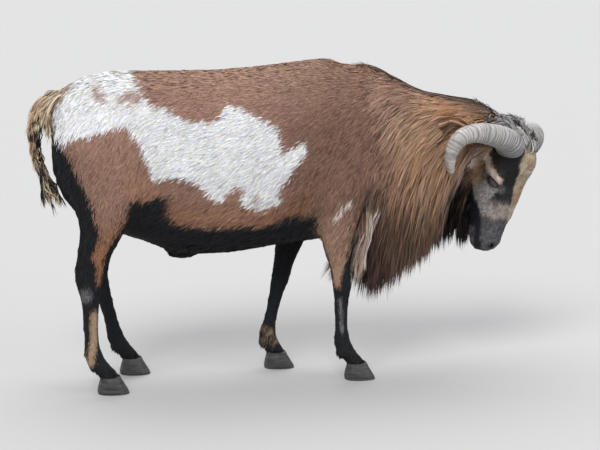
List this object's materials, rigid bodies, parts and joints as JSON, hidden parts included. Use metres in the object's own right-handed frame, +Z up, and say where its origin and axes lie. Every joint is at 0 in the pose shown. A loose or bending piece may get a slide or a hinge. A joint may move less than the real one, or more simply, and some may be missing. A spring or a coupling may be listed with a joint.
{
  "type": "cameroon sheep",
  "caption": "Life-size still model of a maned, horned short-haired ram, standing with its head lowered and turned as if it licks the ground.",
  "frame": {"origin": "bottom centre of the bounding box, on the floor under the body", "axes": "+X the way that the ram faces, +Y its left side, +Z up"},
  "size_m": [1.0902, 0.3246, 0.6503],
  "materials": {
    "coat_torso": "short russet-brown hair with a white patch on the right side and a black belly",
    "coat_mane": "long golden-brown mane hair with a dark crest line and dark tips",
    "coat_face": "short black and grizzled grey face hair with cream stripes",
    "coat_tail": "tan and cream tail hair, black underneath",
    "ear": "short brown hair with a pale rim",
    "leg_upper": "short russet-brown hair, black on the insides and at the back",
    "leg_lower": "short black hair with tan and grey streaks",
    "horn": "matt grey-cream horn with growth rings",
    "hoof": "dusty dark grey horn",
    "eye": "wet dark amber eye with a level pupil"
  },
  "bodies": {
    "root": {"ear_left": "ear", "ear_right": "ear", "eye_left": "eye", "eye_right": "eye", "foreleg_left_lower": "leg_lower", "foreleg_left_upper": "leg_upper", "foreleg_right_lower": "leg_lower", "foreleg_right_upper": "leg_upper", "head": "coat_face", "hindleg_left_lower": "leg_lower", "hindleg_left_upper": "leg_upper", "hindleg_right_lower": "leg_lower", "hindleg_right_upper": "leg_upper", "hoof_foreleg_left_inner": "hoof", "hoof_foreleg_left_outer": "hoof", "hoof_foreleg_right_inner": "hoof", "hoof_foreleg_right_outer": "hoof", "hoof_hindleg_left_inner": "hoof", "hoof_hindleg_left_outer": "hoof", "hoof_hindleg_right_inner": "hoof", "hoof_hindleg_right_outer": "hoof", "horn_left": "horn", "horn_right": "horn", "neck": "coat_mane", "tail": "coat_tail", "torso": "coat_torso"}
  },
  "joints": []
}
